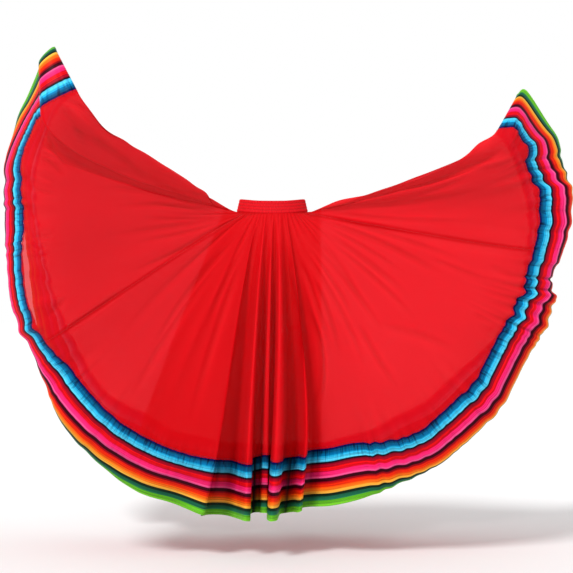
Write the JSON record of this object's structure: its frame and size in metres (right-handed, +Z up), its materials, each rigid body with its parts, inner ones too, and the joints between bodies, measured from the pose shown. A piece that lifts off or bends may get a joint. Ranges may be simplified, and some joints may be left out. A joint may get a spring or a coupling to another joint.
{
  "type": "circle skirt",
  "caption": "Worn circle skirt of red cloth on a shirred waistband, with a wide striped satin border, both sides lifted by the hem.",
  "frame": {"origin": "the middle of the waistband, where the wearer's waist holds the skirt", "axes": "+Z up, the front faces -Y, and the two lifted sides reach out along -X and +X"},
  "size_m": [1.728, 0.9016, 1.3839],
  "materials": {
    "elastic_band": "shirred elastic covered in the red cloth",
    "red_cloth": "plain-woven semi-sheer polyester, soft low sheen",
    "striped_satin": "satin with serape stripes in blue, red, pink, orange and green"
  },
  "bodies": {
    "root": {"waistband": "elastic_band", "front_panel": "red_cloth", "back_panel": "red_cloth", "front_border": "striped_satin", "back_border": "striped_satin"}
  },
  "joints": []
}
